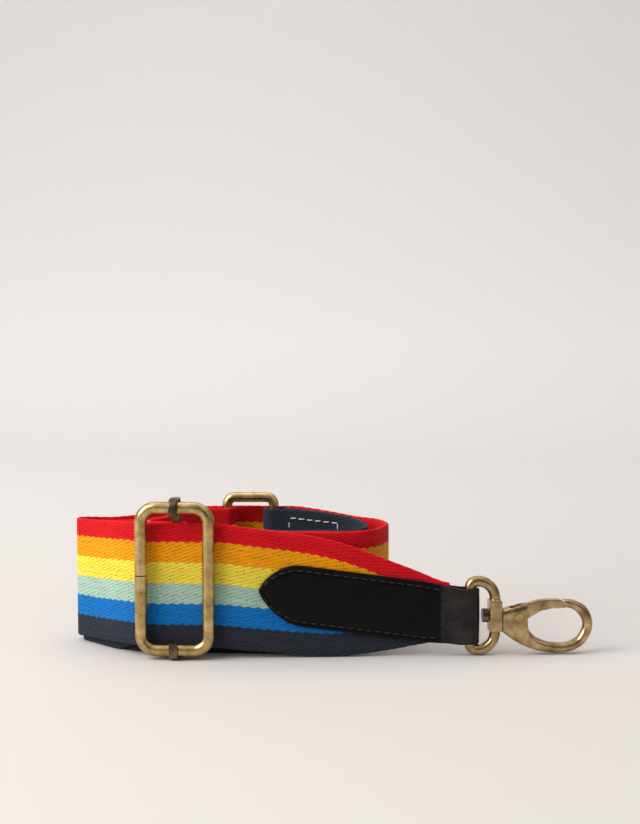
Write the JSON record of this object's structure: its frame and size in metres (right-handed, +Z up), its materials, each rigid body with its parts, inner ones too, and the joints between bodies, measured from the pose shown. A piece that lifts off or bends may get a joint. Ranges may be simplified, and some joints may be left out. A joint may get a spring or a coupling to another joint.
{
  "type": "luggage strap",
  "caption": "Adjustable striped webbing strap coiled on edge, with a slider, a rectangular ring, and leather tabs holding swivel snap hooks.",
  "frame": {"origin": "centre of the underside of the coiled strap's bounding box, on the surface it stands on", "axes": "+X along the coil towards the outer snap hook, +Y away from the front run, +Z up across the webbing's width"},
  "size_m": [0.2143, 0.0684, 0.0647],
  "materials": {
    "striped_webbing": "cotton twill webbing with six woven stripes",
    "black_leather": "smooth black leather with burnished edges",
    "black_thread": "waxed thread",
    "white_thread": "thread",
    "antique_brass": "brushed antique brass plate",
    "aged_brass": "darker antique brass plate",
    "dark_metal": "dark plated steel",
    "spring_steel": "bare wire"
  },
  "bodies": {
    "strap": {"main_webbing": "striped_webbing", "short_webbing": "striped_webbing", "tab_a_leather": "black_leather", "tab_a_stitching": "black_thread", "tab_b_leather": "black_leather", "tab_b_stitching": "black_thread", "ring_box_stitching": "white_thread"},
    "slider_bar_body": {"slider_bar": "dark_metal", "sewn_end": "striped_webbing", "slider_end_stitching": "white_thread"},
    "slider_frame_body": {"slider_frame": "antique_brass"},
    "ring_body": {"rectangular_ring": "antique_brass"},
    "eye_a_body": {"hook_a_eye": "aged_brass"},
    "hook_a_body_group": {"hook_a_swivel_post": "dark_metal", "hook_a_body": "aged_brass", "hook_a_gate_pin": "aged_brass", "hook_a_gate_spring": "spring_steel"},
    "gate_a_body": {"hook_a_gate": "aged_brass"},
    "eye_b_body": {"hook_b_eye": "aged_brass"},
    "hook_b_body_group": {"hook_b_swivel_post": "dark_metal", "hook_b_body": "aged_brass", "hook_b_gate_pin": "aged_brass", "hook_b_gate_spring": "spring_steel"},
    "gate_b_body": {"hook_b_gate": "aged_brass"}
  },
  "joints": [
    {"name": "slider_travel", "type": "slide", "parent": "strap", "child": "slider_bar_body", "axis": [0.9986, -0.0523, 0], "range_m": [-0.001, 0.012]},
    {"name": "frame_slide", "type": "slide", "parent": "slider_bar_body", "child": "slider_frame_body", "axis": [0.9986, -0.0523, 0], "range_m": [-0.005, 0.005]},
    {"name": "ring_swing", "type": "hinge", "parent": "strap", "child": "ring_body", "pos_m": [-0.04479, 0.02739, 0.03], "axis": [0, 0, 1], "range_deg": [-4, 0]},
    {"name": "eye_a_swing", "type": "hinge", "parent": "strap", "child": "eye_a_body", "pos_m": [0.05651, -0.02258, 0.01615], "axis": [0, 0, 1], "range_deg": [-60, 60]},
    {"name": "swivel_a", "type": "hinge", "parent": "eye_a_body", "child": "hook_a_body_group", "pos_m": [0.0665, -0.02199, 0.01615], "axis": [0.9982, 0.0593, 0], "continuous": true},
    {"name": "gate_a_open", "type": "hinge", "parent": "hook_a_body_group", "child": "gate_a_body", "pos_m": [0.07608, -0.02142, 0.01575], "axis": [-0.0593, 0.9982, 0], "range_deg": [0, 22], "stiffness_Nm_per_rad": 0.03, "springref_deg": -17.19, "deforming": ["hook_a_gate_spring"]},
    {"name": "eye_b_swing", "type": "hinge", "parent": "strap", "child": "eye_b_body", "pos_m": [-0.08179, -0.00521, 0.0365], "axis": [0, 0, 1], "range_deg": [-8, 4]},
    {"name": "swivel_b", "type": "hinge", "parent": "eye_b_body", "child": "hook_b_body_group", "pos_m": [-0.07239, -0.00178, 0.0365], "axis": [0.9397, 0.342, 0], "range_deg": [-20, 20]},
    {"name": "gate_b_open", "type": "hinge", "parent": "hook_b_body_group", "child": "gate_b_body", "pos_m": [-0.06337, 0.0015, 0.0361], "axis": [-0.342, 0.9397, 0], "range_deg": [0, 22], "stiffness_Nm_per_rad": 0.03, "springref_deg": -17.19, "deforming": ["hook_b_gate_spring"]}
  ]
}
